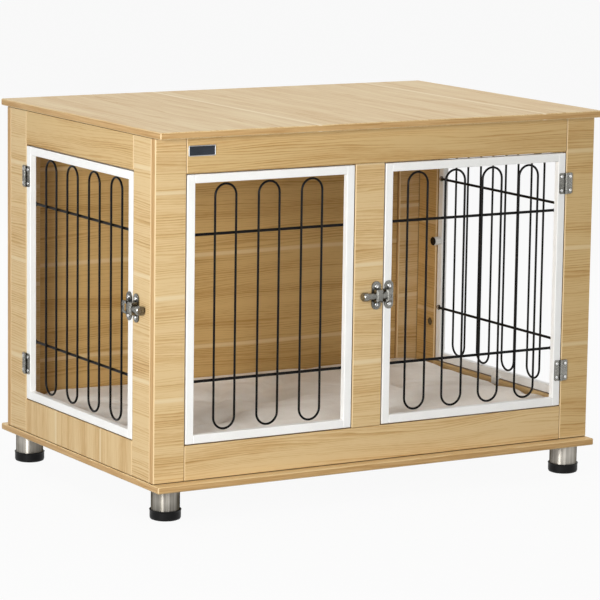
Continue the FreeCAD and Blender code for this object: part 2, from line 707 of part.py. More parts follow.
tube_radius = size.foot_diameter / 2
cap_radius = tube_radius + size.foot_cap_wall
foot_x = half_width - size.foot_inset_x
foot_y = half_depth - size.foot_inset_y
for place, x, y in (
    ("front_left", -foot_x, -foot_y),
    ("front_right", foot_x, -foot_y),
    ("back_left", -foot_x, foot_y),
    ("back_right", foot_x, foot_y),
):
    label = place + "_foot_tube"
    tube = new_body(label)
    tube_height = size.foot_height - size.foot_cap_floor
    ring = outline_sketch(tube, label + "_profile", "XZ_Plane", [
        (tube_radius - size.foot_wall, 0),
        (tube_radius, 0),
        (tube_radius, tube_height),
        (tube_radius - size.foot_wall, tube_height),
    ])
    add_turning(tube, label + "_turning", ring, "Z_Axis")
    put(tube, x, y, size.foot_cap_floor)
    label = place + "_foot_cap"
    cap = new_body(label)
    recess = tube_radius + size.foot_cap_clearance
    tread = size.foot_cap_round
    profile = outline_sketch(cap, label + "_profile", "XZ_Plane", [
        (0, 0),
        (cap_radius - tread, 0),
        (cap_radius - tread * 0.3, tread * 0.3),
        (cap_radius, tread),
        (cap_radius, size.foot_cap_height - size.foot_cap_lip_height),
        (cap_radius + size.foot_cap_lip, size.foot_cap_height),
        (recess, size.foot_cap_height),
        (recess, size.foot_cap_floor),
        (0, size.foot_cap_floor),
    ])
    add_turning(cap, label + "_turning", profile, "Z_Axis")
    put(cap, x, y, 0)

# Window fittings on the inside: stepped clips that hold the fixed frames, and a round stop

step = size.board_thickness - size.leaf_thickness
retainers = []


def window_clip(label, x, y, z, turn):
    """A stepped clip: its foot lies on the board, its tongue on the white frame."""
    body = new_body(label, exported=False)
    gap = size.leaf_gap
    thick = size.clip_thickness
    profile = outline_sketch(body, label + "_profile", "YZ_Plane", [
        (-size.clip_board_lap, -size.board_thickness),
        (0, -size.board_thickness),
        (gap, -size.leaf_thickness),
        (gap + size.clip_leaf_lap, -size.leaf_thickness),
        (gap + size.clip_leaf_lap, -size.leaf_thickness - thick),
        (gap, -size.board_thickness - thick),
        (-size.clip_board_lap, -size.board_thickness - thick),
    ])
    pad = add_pad(body, label + "_sheet", profile, size.clip_width)
    pad.Midplane = True
    put(body, x, y, z, turn)
    retainers.append(body)
    return body


window_middle = window_left + size.front_window_width / 2
front_flipped = FRONT_FLIPPED
right_flipped = turned((0, -1, 0), (0, 0, -1), (1, 0, 0))
window_clip("front_window_lower_clip", window_middle - size.clip_offset, front_face, opening_bottom, FRONT)
window_clip("front_window_upper_clip", window_middle - size.clip_offset, front_face, opening_top, front_flipped)
window_clip("right_window_lower_clip", half_width, -size.clip_offset, opening_bottom, RIGHT)
window_clip("right_window_upper_clip", half_width, -size.clip_offset, opening_top, right_flipped)
bumper = new_body("right_window_bumper", exported=False)
bumper_radius = size.bumper_diameter / 2
profile = outline_sketch(bumper, "right_window_bumper_profile", "XZ_Plane", [
    (0, 0),
    (bumper_radius, 0),
    (bumper_radius, size.bumper_length - size.bumper_bevel),
    (bumper_radius - size.bumper_bevel, size.bumper_length),
    (0, size.bumper_length),
])
add_turning(bumper, "right_window_bumper_turning", profile, "Z_Axis")
put(bumper, half_width - size.leaf_thickness, -side_leaf_front - size.leaf_face / 2,
    leaf_bottom + size.bumper_height, FreeCAD.Rotation(Vector(0, 1, 0), -90))
retainers.append(bumper)
group("window_retainers", retainers)

# Cushion: a crowned pad, drawn in at its underside, its shoulder and the middle of each side

cushion_half_x = half_width.value - size.board_thickness.value - size.cushion_clearance.value
cushion_half_y = side_depth.value / 2 - size.cushion_clearance.value


def cushion_ring(level, inset):
    """Rounded rectangle with sides that bow in, as eight arcs."""
    a = cushion_half_x - inset
    b = cushion_half_y - inset
    corner = size.cushion_corner.value
    pull = size.cushion_pull.value
    bend = corner * (1 - math.sqrt(0.5))
    quarters = [(1, 1), (-1, 1), (-1, -1), (1, -1)]
    edges = []
    starts = []
    for sx, sy in quarters:
        side = Vector(sx * a, sy * (b - corner), level)
        head = Vector(sx * (a - corner), sy * b, level)
        middle = Vector(sx * (a - bend), sy * (b - bend), level)
        ends = (side, head) if sx * sy > 0 else (head, side)
        starts.append((ends[0], middle, ends[1]))
    pulls = [Vector(0, b - pull, level), Vector(pull - a, 0, level), Vector(0, pull - b, level),
             Vector(a - pull, 0, level)]
    for i in range(4):
        first, middle, last = starts[i]
        edges.append(Part.Arc(first, middle, last).toShape())
        edges.append(Part.Arc(last, pulls[i], starts[(i + 1) % 4][0]).toShape())
    return Part.Wire(edges)


# the underside rounds out to the belly, the shoulder rounds in and the crown rises to its flat
rings = []
for i in range(3):
    turn = math.radians(45 * i)
    rings.append(cushion_ring(size.cushion_belly_low.value * (1 - math.cos(turn)),
                              size.cushion_tuck.value * (1 - math.sin(turn))))
shoulder_rise = size.cushion_edge_height.value - size.cushion_belly_high.value
for i in range(4):
    turn = math.radians(25 * i)
    rings.append(cushion_ring(size.cushion_belly_high.value + shoulder_rise * math.sin(turn),
                              size.cushion_shoulder.value * (1 - math.cos(turn))))
crown_rise = size.cushion_crown_height.value - size.cushion_edge_height.value
crown_run = size.cushion_crown_inset.value - size.cushion_shoulder.value
for i in range(1, 5):
    share = i / 4
    rings.append(cushion_ring(size.cushion_edge_height.value + crown_rise * share * (2 - share),
                              size.cushion_shoulder.value + crown_run * share))
cushion = doc.addObject("Part::Feature", "cushion")
cushion.Label = "cushion"
cushion.Shape = Part.makeLoft(rings, True, True)
put(cushion, 0, 0, base_top)
nodes.append(cushion)

# Every object has to come out whole before a file is written

doc.recompute()
for thing in doc.Objects:
    for state in thing.State:
        if state in ("Invalid", "Error"):
            raise RuntimeError("%s: %s" % (thing.Name, thing.State))
for node in nodes:
    if node.Shape.isNull() or not node.Shape.isValid() or not node.Shape.Solids:
        raise RuntimeError("%s has no sound solid" % node.Label)

os.makedirs("parts", exist_ok=True)
for node in nodes:
    node.Shape.exportStep("parts/%s.step" % node.Label)
    print("%-28s solids %d volume %.1f" % (node.Label, len(node.Shape.Solids), node.Shape.Volume))
print("%d nodes" % len(nodes))
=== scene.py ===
"""A furniture-style pet crate: oak-foil boards, white lacquered frames, black wire loops and a floor cushion.

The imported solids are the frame. This script dresses them: the finishes, the cushion, the screws, the pad on
the round stop and a blank plate, then the floor, the lights and the camera.
"""

import math

import bmesh
import bpy
from mathutils import Matrix, Vector


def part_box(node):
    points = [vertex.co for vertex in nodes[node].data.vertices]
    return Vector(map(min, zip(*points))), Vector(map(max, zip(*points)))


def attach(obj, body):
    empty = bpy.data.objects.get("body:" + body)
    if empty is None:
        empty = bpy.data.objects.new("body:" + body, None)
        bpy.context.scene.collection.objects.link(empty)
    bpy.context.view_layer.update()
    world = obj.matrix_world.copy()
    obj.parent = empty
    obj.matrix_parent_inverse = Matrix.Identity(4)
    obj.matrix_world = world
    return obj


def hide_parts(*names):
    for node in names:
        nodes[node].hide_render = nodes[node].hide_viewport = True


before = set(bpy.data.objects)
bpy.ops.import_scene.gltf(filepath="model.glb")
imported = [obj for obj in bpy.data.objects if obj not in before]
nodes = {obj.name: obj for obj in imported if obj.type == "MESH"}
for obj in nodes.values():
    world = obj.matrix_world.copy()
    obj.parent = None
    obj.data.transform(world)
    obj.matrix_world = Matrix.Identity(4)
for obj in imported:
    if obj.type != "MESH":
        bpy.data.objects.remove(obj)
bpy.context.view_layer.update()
scene = bpy.context.scene
scene.view_settings.view_transform = "Standard"
MM = 0.001


# Finishes: helpers

def linear(hex_colour):
    """An sRGB hex colour as the linear colour that shaders take."""
    channels = [int(hex_colour[i:i + 2], 16) / 255 for i in (1, 3, 5)]
    curve = [c / 12.92 if c <= 0.04045 else ((c + 0.055) / 1.055) ** 2.4 for c in channels]
    return (*curve, 1.0)


def add_node(tree, kind, inputs=None, stops=None, **settings):
    """Adds one node with its settings, sets or links its inputs, and gives a ramp its colour stops."""
    node = tree.nodes.new(kind)
    for name, value in settings.items():
        setattr(node, name, value)
    for name, value in (inputs or {}).items():
        if isinstance(value, bpy.types.NodeSocket):
            tree.links.new(value, node.inputs[name])
        else:
            node.inputs[name].default_value = value
    for number, (position, colour) in enumerate(stops or ()):
        ramp = node.color_ramp.elements
        stop = ramp[number] if number < 2 else ramp.new(position)
        stop.position = position
        stop.color = linear(colour)
    return node


def start_material(name):
    """A new, empty material and its node tree."""
    material = bpy.data.materials.new(name)
    material.use_nodes = True
    material.node_tree.nodes.clear()
    return material, material.node_tree


def finish_material(tree, inputs):
    """Closes a material with its surface shader."""
    surface = add_node(tree, "ShaderNodeBsdfPrincipled", inputs)
    add_node(tree, "ShaderNodeOutputMaterial", {"Surface": surface.outputs["BSDF"]})


def dress(piece, material):
    """Gives a piece one material all over."""
    piece.data.materials.clear()
    piece.data.materials.append(material)


# Oak foil: lengths run with the grain and widths across it

FIGURE_LENGTH = 380 * MM
FIGURE_WIDTH = 95 * MM
FIGURE_BEND = 34 * MM
FIGURE_SLIDE = 0.37
DRIFT_LENGTH = 420 * MM
DRIFT_WIDTH = 22 * MM
# The most rings by which the drift moves a ring out of even spacing
DRIFT_RINGS = 5.0
# Where in a ring its dark late wood begins and is darkest, as shares of the ring
LATE_WOOD = (0.35, 0.95)
FADE_LENGTH = 460 * MM
FADE_WIDTH = 13 * MM
FADE_RANGE = (0.25, 0.7)
ZONE_WIDTH = 30 * MM
ZONE_SLIDE = 1.7
FIBRE_LENGTH = 26 * MM
FIBRE_WIDTH = 1.6 * MM
FIBRE_DEPTH = 25 * MM
PORE_DEPTH = 0.4 * MM
# The tone that all start from, its drop with contrast, and how far zones, rings and fibres each move it
TONE_START = 0.55
TONE_DROP = 0.26
ZONE_WEIGHT = 0.6
RING_WEIGHT = 0.27
FIBRE_WEIGHT = 0.3
# Where on the tone scale the first four shades lie, and the roughness of dark and of light wood
SHADE_STOPS = (0.30, 0.78, 0.46, 0.60)
SATIN = (0.52, 0.4)
BAND_HALF_WIDTH = 5.5 * MM
BAND_CORE = 0.3 * BAND_HALF_WIDTH
BAND_BEND = 0.4 * FIGURE_BEND
BAND_STRENGTH = 0.8
EDGE_STREAK_LENGTH = 250 / 3 * MM
EDGE_STREAK_WIDTH = 2.2 * MM
EDGE_BANDING_DARK = "#B48C57"
EDGE_BANDING_LIGHT = "#D0AC79"
# A spot is on an upright eased edge if its normal is turned off both flat sides and hardly tilts; such
# spots get a painted highlight, a pale line for the light that the edge catches
EASED_TURN = 0.93
EASED_TILT = 0.3
EASED_EDGE_HIGHLIGHT = "#DDC295"
# Painted shade at joints and in inner corners: its reach, its strength and its colour
JOINT_SHADE_REACH = 4 * MM
JOINT_SHADE_STRENGTH = 0.75
JOINT_SHADE = "#5A4020"


def oak_foil(board, grain, across, band_at, band_repeat, ring_width, contrast, shift, shades):
    """Oak-printed melamine foil on chipboard, with thin edge banding.

    To the eye: fine flat-sawn rings that bend and fade, wide light and dark zones, short fibres, pale
    sapwood bands at a steady repeat and a low satin sheen. Upright eased edges get a painted highlight as
    pale lines, and painted shade darkens the joints between boards into dark lines. Real rings are 2 to 3 mm
    apart, drawn wider so that they show.
    The band's place, its repeat and the ring width are in millimetres. Shift gives a board its own figure.
    """
    material, tree = start_material("oak_melamine_foil_" + board)
    thickness = ({"X", "Y", "Z"} - {grain, across}).pop()
    place = add_node(tree, "ShaderNodeTexCoord")
    spot = add_node(tree, "ShaderNodeSeparateXYZ", {0: place.outputs["Object"]})
    along = spot.outputs[grain]
    over = spot.outputs[across]
    deep = spot.outputs[thickness]

    # The figure bends the rings into low arches
    flat = add_node(tree, "ShaderNodeCombineXYZ", {0: along, 1: over, 2: deep})
    figure_place = add_node(tree, "ShaderNodeVectorMath", {
        0: flat.outputs[0],
        1: (1 / FIGURE_LENGTH, 1 / FIGURE_WIDTH, 0.0),
        2: (shift * FIGURE_SLIDE, 0.0, shift),
    }, operation="MULTIPLY_ADD")
    figure = add_node(tree, "ShaderNodeTexNoise", {
        "Vector": figure_place.outputs[0], "Scale": 1.0, "Detail": 1.5, "Roughness": 0.45,
    })
    centred = add_node(tree, "ShaderNodeMath", {0: figure.outputs["Fac"], 1: 0.5}, operation="SUBTRACT")
    bent = add_node(tree, "ShaderNodeMath", {
        0: centred.outputs[0], 1: FIGURE_BEND, 2: over,
    }, operation="MULTIPLY_ADD")
    bent_flat = add_node(tree, "ShaderNodeCombineXYZ", {0: along, 1: bent.outputs[0], 2: shift})

    # Rings at uneven spacing, each a soft rise to a sharp dark edge, that fade in and out along the grain
    drift_place = add_node(tree, "ShaderNodeVectorMath", {
        0: bent_flat.outputs[0], 1: (1 / DRIFT_LENGTH, 1 / DRIFT_WIDTH, 1.0),
    }, operation="MULTIPLY")
    drift = add_node(tree, "ShaderNodeTexNoise", {
        "Vector": drift_place.outputs[0], "Scale": 1.0, "Detail": 2.0,
    })
    count = add_node(tree, "ShaderNodeMath", {
        0: bent.outputs[0], 1: 1 / (ring_width * MM),
    }, operation="MULTIPLY")
    uneven = add_node(tree, "ShaderNodeMath", {
        0: drift.outputs["Fac"], 1: DRIFT_RINGS, 2: count.outputs[0],
    }, operation="MULTIPLY_ADD")
    ring = add_node(tree, "ShaderNodeMath", {0: uneven.outputs[0]}, operation="FRACT")
    late_wood = add_node(tree, "ShaderNodeMapRange", {
        "Value": ring.outputs[0], "From Min": LATE_WOOD[0], "From Max": LATE_WOOD[1],
    }, interpolation_type="SMOOTHSTEP")
    fade_place = add_node(tree, "ShaderNodeVectorMath", {
        0: bent_flat.outputs[0], 1: (1 / FADE_LENGTH, 1 / FADE_WIDTH, 1.0),
    }, operation="MULTIPLY")
    fade = add_node(tree, "ShaderNodeTexNoise", {
        "Vector": fade_place.outputs[0], "Scale": 1.0, "Detail": 2.0,
    })
    fading = add_node(tree, "ShaderNodeMapRange", {
        "Value": fade.outputs["Fac"], "From Min": FADE_RANGE[0], "From Max": FADE_RANGE[1],
    })
    line = add_node(tree, "ShaderNodeMath", {
        0: late_wood.outputs[0], 1: fading.outputs[0],
    }, operation="MULTIPLY")
    zone_place = add_node(tree, "ShaderNodeVectorMath", {
        0: bent_flat.outputs[0], 1: (1 / DRIFT_LENGTH, 1 / ZONE_WIDTH, ZONE_SLIDE),
    }, operation="MULTIPLY")
    zones = add_node(tree, "ShaderNodeTexNoise", {
        "Vector": zone_place.outputs[0], "Scale": 1.0, "Detail": 2.0,
    })
    fibre_place = add_node(tree, "ShaderNodeVectorMath", {
        0: flat.outputs[0], 1: (1 / FIBRE_LENGTH, 1 / FIBRE_WIDTH, 1 / FIBRE_DEPTH),
    }, operation="MULTIPLY")
    fibres = add_node(tree, "ShaderNodeTexNoise", {
        "Vector": fibre_place.outputs[0], "Scale": 1.0, "Detail": 2.0, "Roughness": 0.6,
    })

    # Zones, rings and fibres together set the tone
    broad = add_node(tree, "ShaderNodeMath", {
        0: zones.outputs["Fac"], 1: ZONE_WEIGHT * contrast, 2: TONE_START - TONE_DROP * contrast,
    }, operation="MULTIPLY_ADD")
    ringed = add_node(tree, "ShaderNodeMath", {
        0: line.outputs[0], 1: -RING_WEIGHT * contrast, 2: broad.outputs[0],
    }, operation="MULTIPLY_ADD")
    tone = add_node(tree, "ShaderNodeMath", {
        0: fibres.outputs["Fac"], 1: FIBRE_WEIGHT * contrast, 2: ringed.outputs[0],
    }, operation="MULTIPLY_ADD")
    *wood_shades, band_shade = shades
    wood = add_node(tree, "ShaderNodeValToRGB", {"Fac": tone.outputs[0]}, stops=zip(SHADE_STOPS, wood_shades))

    # Pale bands run with the grain at the foil's repeat
    band_bent = add_node(tree, "ShaderNodeMath", {
        0: centred.outputs[0], 1: BAND_BEND, 2: over,
    }, operation="MULTIPLY_ADD")
    band_from = add_node(tree, "ShaderNodeMath", {
        0: band_bent.outputs[0], 1: band_at * MM,
    }, operation="SUBTRACT")
    band_gap = add_node(tree, "ShaderNodeMath", {
        0: band_from.outputs[0], 1: band_repeat * MM / 2,
    }, operation="PINGPONG")
    band = add_node(tree, "ShaderNodeMapRange", {
        "Value": band_gap.outputs[0],
        "From Min": BAND_CORE,
        "From Max": BAND_HALF_WIDTH,
        "To Min": BAND_STRENGTH,
        "To Max": 0.0,
    }, interpolation_type="SMOOTHSTEP")
    banded = add_node(tree, "ShaderNodeMix", {
        0: band.outputs[0], 6: wood.outputs[0], 7: linear(band_shade),
    }, data_type="RGBA")

    # Edge banding on the narrow sides, and a painted highlight, a pale line, on the upright eased edges
    edge_place = add_node(tree, "ShaderNodeVectorMath", {
        0: flat.outputs[0], 1: (1 / EDGE_STREAK_LENGTH, 1 / EDGE_STREAK_LENGTH, 1 / EDGE_STREAK_WIDTH),
    }, operation="MULTIPLY")
    edge_streaks = add_node(tree, "ShaderNodeTexNoise", {
        "Vector": edge_place.outputs[0], "Scale": 1.0, "Detail": 3.0,
    })
    edging = add_node(tree, "ShaderNodeValToRGB", {"Fac": edge_streaks.outputs["Fac"]}, stops=[
        (0.30, EDGE_BANDING_DARK), (0.70, EDGE_BANDING_LIGHT),
    ])
    facing = add_node(tree, "ShaderNodeVectorMath", {0: place.outputs["Normal"]}, operation="ABSOLUTE")
    facings = add_node(tree, "ShaderNodeSeparateXYZ", {0: facing.outputs[0]})
    narrow = add_node(tree, "ShaderNodeMath", {
        0: facings.outputs[thickness], 1: 0.5,
    }, operation="LESS_THAN")
    sided = add_node(tree, "ShaderNodeMix", {
        0: narrow.outputs[0], 6: banded.outputs[2], 7: edging.outputs[0],
    }, data_type="RGBA")
    widest = add_node(tree, "ShaderNodeMath", {
        0: facings.outputs["X"], 1: facings.outputs["Y"],
    }, operation="MAXIMUM")
    turned = add_node(tree, "ShaderNodeMath", {0: widest.outputs[0], 1: EASED_TURN}, operation="LESS_THAN")
    upright = add_node(tree, "ShaderNodeMath", {
        0: facings.outputs["Z"], 1: EASED_TILT,
    }, operation="LESS_THAN")
    eased_highlight = add_node(tree, "ShaderNodeMath", {
        0: turned.outputs[0], 1: upright.outputs[0],
    }, operation="MULTIPLY")
    colour = add_node(tree, "ShaderNodeMix", {
        0: eased_highlight.outputs[0], 6: sided.outputs[2], 7: linear(EASED_EDGE_HIGHLIGHT),
    }, data_type="RGBA")

    # Painted shade: dark lines where a board meets its neighbour, from occlusion within a few millimetres
    corner = add_node(tree, "ShaderNodeAmbientOcclusion", {"Distance": JOINT_SHADE_REACH}, samples=8)
    joint_shade = add_node(tree, "ShaderNodeMapRange", {
        "Value": corner.outputs["AO"], "From Min": 0.35, "From Max": 0.8,
        "To Min": JOINT_SHADE_STRENGTH, "To Max": 0.0,
    })
    joint_shaded = add_node(tree, "ShaderNodeMix", {
        0: joint_shade.outputs[0], 6: colour.outputs[2], 7: linear(JOINT_SHADE),
    }, data_type="RGBA")

    sheen = add_node(tree, "ShaderNodeMapRange", {
        "Value": tone.outputs[0], "From Min": 0.3, "From Max": 0.75,
        "To Min": SATIN[0], "To Max": SATIN[1],
    })
    pores = add_node(tree, "ShaderNodeBump", {
        "Height": tone.outputs[0], "Strength": 0.12, "Distance": PORE_DEPTH,
    })
    finish_material(tree, {
        "Base Color": joint_shaded.outputs[2],
        "Roughness": sheen.outputs[0],
        "IOR": 1.48,
        "Specular IOR Level": 0.22,
        "Normal": pores.outputs["Normal"],
    })
    return material


# Each board's grain axis, the axis across the grain, where one pale band lies and its repeat in millimetres
BOARDS = {
    "top_panel": ("Y", "X", -134.0, 465.0),
    "base_panel": ("X", "Y", -60.0, 177.0),
    "front_left_stile": ("X", "Z", 207.0, 178.5),
    "front_mullion": ("X", "Z", 419.3, 177.0),
    "front_right_stile": ("X", "Z", 243.5, 175.0),
    "front_bottom_rail": ("X", "Z", 180.0, 177.0),
    "front_top_rail": ("X", "Z", 520.0, 177.0),
    "left_front_stile": ("Y", "Z", 421.5, 182.0),
    "left_back_stile": ("Y", "Z", 383.0, 177.0),
    "left_bottom_rail": ("Z", "Y", -90.0, 177.0),
    "left_top_rail": ("Y", "Z", 540.0, 177.0),
    "right_front_stile": ("Y", "Z", 300.0, 177.0),
    "right_back_stile": ("Y", "Z", 402.0, 177.0),
    "right_bottom_rail": ("Y", "Z", 20.0, 177.0),
    "right_top_rail": ("Y", "Z", 540.0, 177.0),
    "back_left_stile": ("X", "Z", 330.0, 177.0),
    "back_right_stile": ("X", "Z", 250.0, 177.0),
    "back_panel": ("X", "Z", 182.0, 178.0),
}
# Dark, light, two middle shades and the pale band. The warm copy is painted shade: darker and more
# saturated for boards lit by light reflected from the wood inside the crate. The deep copy is darker and
# more saturated. The pale copy is a painted sheen on the top, lighter and greyer as a satin face that
# reflects the sky.
OAK = ("#A37D48", "#DBBF8E", "#BE9961", "#CDAA76", "#E4CFA6")
INTERIOR_SHADE_OAK = ("#97703A", "#CFAB70", "#AF8849", "#BD975C", "#DEC393")
DEEP_OAK = ("#9A733D", "#D3B580", "#B68F55", "#C5A069", "#DEC799")
TOP_SHEEN_OAK = ("#A98755", "#DBC394", "#C4A270", "#D0B181", "#EBDAB8")
SHADES = {
    # Painted shade: the warm copy on the back panel and the right back stile
    "back_panel": INTERIOR_SHADE_OAK,
    "right_back_stile": INTERIOR_SHADE_OAK,
    "front_top_rail": DEEP_OAK,
    "front_right_stile": DEEP_OAK,
    "left_top_rail": DEEP_OAK,
    # The top's pale copy is a painted sheen
    "top_panel": TOP_SHEEN_OAK,
}
# Ring width in millimetres and contrast; the top's foil has wide, faint rings
RINGS = (4.4, 1.15)
TOP_RINGS = (9.0, 0.85)
FIGURE_STEP = 2.7
for number, (board, (grain, across, band_at, band_repeat)) in enumerate(BOARDS.items()):
    ring_width, contrast = TOP_RINGS if board == "top_panel" else RINGS
    shades = SHADES.get(board, OAK)
    shift = FIGURE_STEP * number
    foil = oak_foil(board, grain, across, band_at, band_repeat, ring_width, contrast, shift, shades)
    dress(nodes[board], foil)


# Plain finishes

PATCH = 55 * MM
GRIT_RELIEF = 0.1 * MM


def plain_finish(name, dark, light, grit, rough, bump, extra=None, stretch=(1.0, 1.0, 1.0), corners=None):
    """A finish whose tone, roughness and tiny relief follow one grit, given as its size in millimetres.

    Rough is the roughness from the smoothest to the roughest spots, and stretch below 1 draws the grit out
    along an axis. If corners is given, as a reach in millimetres and a colour, painted shade darkens the
    inner corners.
    """
    material, tree = start_material(name)
    place = add_node(tree, "ShaderNodeTexCoord")
    grit_place = add_node(tree, "ShaderNodeVectorMath", {
        0: place.outputs["Object"], 1: stretch,
    }, operation="MULTIPLY")
    grain = add_node(tree, "ShaderNodeTexNoise", {
        "Vector": grit_place.outputs[0], "Scale": 1 / (grit * MM), "Detail": 3.0, "Roughness": 0.55,
    })
    patches = add_node(tree, "ShaderNodeTexNoise", {
        "Vector": place.outputs["Object"], "Scale": 1 / PATCH, "Detail": 2.0,
    })
    tone = add_node(tree, "ShaderNodeMath", {
        0: grain.outputs["Fac"], 1: patches.outputs["Fac"],
    }, operation="ADD")
    colour = add_node(tree, "ShaderNodeMapRange", {
        "Value": tone.outputs[0], "From Min": 0.7, "From Max": 1.3,
    })
    blend = add_node(tree, "ShaderNodeMix", {
        0: colour.outputs[0], 6: linear(dark), 7: linear(light),
    }, data_type="RGBA")
    if corners:
        reach, corner_shade_colour = corners
        # Painted shade: occlusion darkens inner corners towards the given colour
        hollow = add_node(tree, "ShaderNodeAmbientOcclusion", {"Distance": reach * MM}, samples=8)
        corner_shade = add_node(tree, "ShaderNodeMapRange", {
            "Value": hollow.outputs["AO"], "From Min": 0.35, "From Max": 0.9, "To Min": 0.85, "To Max": 0.0,
        })
        blend = add_node(tree, "ShaderNodeMix", {
            0: corner_shade.outputs[0], 6: blend.outputs[2], 7: linear(corner_shade_colour),
        }, data_type="RGBA")
    roughness = add_node(tree, "ShaderNodeMapRange", {
        "Value": grain.outputs["Fac"], "From Min": 0.3, "From Max": 0.7,
        "To Min": rough[0], "To Max": rough[1],
    })
    relief = add_node(tree, "ShaderNodeBump", {
        "Height": grain.outputs["Fac"], "Strength": bump, "Distance": GRIT_RELIEF,
    })
    finish_material(tree, {
        "Base Color": blend.outputs[2],
        "Roughness": roughness.outputs[0],
        "Normal": relief.outputs["Normal"],
        **(extra or {}),
    })
    return material


# White satin lacquer on moulded board: bright, faint orange peel about 2 mm across
white_lacquer = plain_finish(
    "white_satin_lacquer", "#F4F4F1", "#FBFBF9", grit=2.0, rough=(0.32, 0.42), bump=0.05, extra={"IOR": 1.47})
# Black powder coat on drawn steel wire: deep black, small highlights, grit drawn 0.9 mm so that it shows
black_powder_coat = plain_finish(
    "black_powder_coat", "#030303", "#080808", grit=0.9, rough=(0.26, 0.36), bump=0.12,
    extra={"IOR": 1.5, "Specular IOR Level": 0.14})
# Zinc plate on pressed steel: mid grey, mottled from the tumbling barrel, with painted shade in its inner
# corners
zinc_plate = plain_finish(
    "zinc_plated_steel", "#55544F", "#9A9993", grit=1.6, rough=(0.18, 0.32), bump=0.15,
    extra={"Metallic": 1.0}, corners=(6.0, "#161513"))
# Bright zinc on screw heads and hinge pins: the same plate, rubbed brighter
bright_zinc = plain_finish(
    "bright_zinc_screws", "#A9AAAA", "#DADAD8", grit=1.2, rough=(0.18, 0.3), bump=0.08,
    extra={"Metallic": 1.0})
# Stainless tube brushed round its girth: lights draw out into upright streaks on a grey, darker to the sides;
# the light and dark upright streaks in its colour are painted reflections
brushed_steel = plain_finish(
    "brushed_stainless_tube", "#66625A", "#C2BDB4", grit=5.0, rough=(0.34, 0.44), bump=0.1,
    extra={
        "Metallic": 1.0,
        "Anisotropic": 0.9,
        "Anisotropic Rotation": 0.25,
        "Specular Tint": linear("#4E483E"),
    },
    stretch=(1.0, 1.0, 0.02))
# Moulded black rubber: dull, faint grain from the mould
black_rubber = plain_finish(
    "moulded_black_rubber", "#030303", "#090909", grit=1.0, rough=(0.34, 0.5), bump=0.2,
    extra={"IOR": 1.52, "Specular IOR Level": 0.16})
# Moulded white nylon: faintly warm, satin
white_nylon = plain_finish(
    "moulded_white_nylon", "#E6E5E0", "#F1F0EC", grit=1.4, rough=(0.36, 0.48), bump=0.08, extra={"IOR": 1.53})
# Black anodised aluminium: fine brushing along the plate
black_anodised = plain_finish(
    "black_anodised_aluminium", "#20242A", "#343A42", grit=0.8, rough=(0.28, 0.4), bump=0.1,
    extra={"Metallic": 0.6}, stretch=(0.05, 1.0, 1.0))
# Satin aluminium edge of the plate: pale, with a soft gleam
satin_aluminium = plain_finish(
    "satin_aluminium", "#A2A4A6", "#C6C8C9", grit=1.0, rough=(0.3, 0.42), bump=0.05, extra={"Metallic": 1.0})

# The first of these words that is in a node's name sets its finish
FINISH_BY_WORD = (
    ("foot_tube", brushed_steel),
    ("foot_cap", black_rubber),
    ("grille", black_powder_coat),
    ("window_retainers", white_nylon),
    ("hinge_pins", bright_zinc),
    ("hinge", zinc_plate),
    ("latch", zinc_plate),
    ("cam_locks", zinc_plate),
    ("window_", white_lacquer),
    ("door_", white_lacquer),
)
for node_name, node in nodes.items():
    if node_name not in BOARDS:
        for word, finish in FINISH_BY_WORD:
            if word in node_name:
                dress(node, finish)
                break


# Cushion fabric

BRUSHED_PATCH = 70 * MM
NAP = 2.2 * MM
NAP_DEPTH = 0.8 * MM


def cushion_fabric():
    """Short-pile polyester fleece in pale grey beige: matt, with brushed patches, a nap and a light sheen."""
    material, tree = start_material("polyester_fleece")
    place = add_node(tree, "ShaderNodeTexCoord")
    brushed = add_node(tree, "ShaderNodeTexNoise", {
        "Vector": place.outputs["Object"], "Scale": 1 / BRUSHED_PATCH, "Detail": 3.0, "Roughness": 0.6,
    })
    nap = add_node(tree, "ShaderNodeTexNoise", {
        "Vector": place.outputs["Object"], "Scale": 1 / NAP, "Detail": 3.0, "Roughness": 0.7,
    })
    tone = add_node(tree, "ShaderNodeMath", {
        0: nap.outputs["Fac"], 1: 0.45, 2: brushed.outputs["Fac"],
    }, operation="MULTIPLY_ADD")
    colour = add_node(tree, "ShaderNodeValToRGB", {"Fac": tone.outputs[0]}, stops=[
        (0.45, "#E2DACF"), (0.95, "#F8F4ED"),
    ])
    relief = add_node(tree, "ShaderNodeBump", {
        "Height": nap.outputs["Fac"], "Strength": 0.35, "Distance": NAP_DEPTH,
    })
    finish_material(tree, {
        "Base Color": colour.outputs[0],
        "Roughness": 0.92,
        "Sheen Weight": 0.25,
        "Sheen Roughness": 0.5,
        "Normal": relief.outputs["Normal"],
    })
    return material


# Shaped pieces

def new_piece(name, mesh, material, body):
    """Puts a finished mesh in the scene as a piece that moves with a body."""
    piece = bpy.data.objects.new(name, mesh)
    scene.collection.objects.link(piece)
    dress(piece, material)
    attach(piece, body)
    return piece


def side_frame(outward):
    """Two directions across a face, and the way out of it, as a turning matrix."""
    out = Vector(outward)
    first = Vector((0, 0, 1)) if abs(out.z) < 0.5 else Vector((1, 0, 0))
    second = out.cross(first)
    return Matrix((first, second, out)).transposed()


